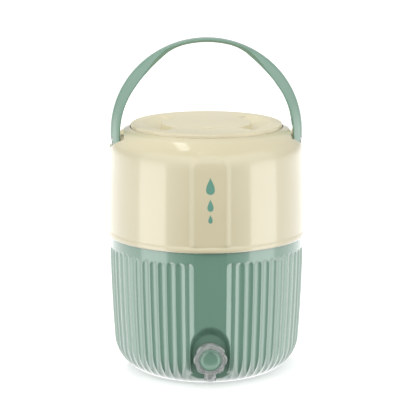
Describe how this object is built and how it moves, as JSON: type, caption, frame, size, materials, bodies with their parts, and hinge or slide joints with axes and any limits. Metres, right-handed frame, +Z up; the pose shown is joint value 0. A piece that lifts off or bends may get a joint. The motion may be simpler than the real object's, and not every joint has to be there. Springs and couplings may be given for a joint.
{
  "type": "insulated water jug",
  "caption": "Insulated table jug with a two-colour ribbed body, screw lid, swinging carry handle and push-button tap in a recess.",
  "frame": {"origin": "centre of the jug's footprint, on the surface it stands on", "axes": "+Z up along the jug's axis, -Y towards the tap, +X towards the viewer's right when facing the tap"},
  "size_m": [0.2874, 0.2874, 0.4795],
  "materials": {
    "cream_plastic": "gloss",
    "green_plastic": "gloss",
    "clear_plastic": "clear gloss",
    "white_plastic": "satin",
    "silicone": "matt",
    "steel": "brushed",
    "foam": "matt"
  },
  "bodies": {
    "jug": {"outer_body": "green_plastic", "base_plate": "green_plastic", "base_screw_1": "steel", "base_screw_2": "steel", "base_screw_3": "steel", "base_screw_4": "steel", "upper_cover": "cream_plastic", "liner": "white_plastic", "insulation": "foam", "pivot_bush_left": "white_plastic", "pivot_bush_right": "white_plastic", "pivot_screw_left": "steel", "pivot_screw_right": "steel", "tap_body": "clear_plastic", "tap_bezel": "clear_plastic", "tap_outer_gasket": "silicone", "tap_inner_gasket": "silicone", "tap_lock_nut": "white_plastic", "tap_spring": "steel", "stem_o_ring": "silicone"},
    "handle": {"handle": "green_plastic"},
    "lid_seal": {"lid_gasket": "silicone"},
    "lid": {"lid_top": "cream_plastic", "lid_plug": "white_plastic", "lid_foam": "foam"},
    "valve": {"tap_button": "green_plastic", "tap_stem": "white_plastic", "tap_valve_seal": "silicone"}
  },
  "joints": [
    {"name": "handle_swing", "type": "hinge", "parent": "jug", "child": "handle", "pos_m": [0, 0, 0.333], "axis": [1, 0, 0], "range_deg": [-60, 60]},
    {"name": "lid_rise", "type": "slide", "parent": "jug", "child": "lid_seal", "axis": [0, 0, 1], "range_m": [0, 0.0361]},
    {"name": "lid_turn", "type": "hinge", "parent": "lid_seal", "child": "lid", "pos_m": [0, 0, 0.35], "axis": [0, 0, 1], "range_deg": [0, 1080]},
    {"name": "tap_press", "type": "slide", "parent": "jug", "child": "valve", "axis": [0, 1, 0], "range_m": [0, 0.0042], "stiffness_N_per_m": 600, "springref_m": -0.004, "deforming": ["tap_spring"]}
  ],
  "couplings": [
    {"joint": "lid_rise", "follows": "lid_turn", "m_per_rad": 0.0019099}
  ]
}
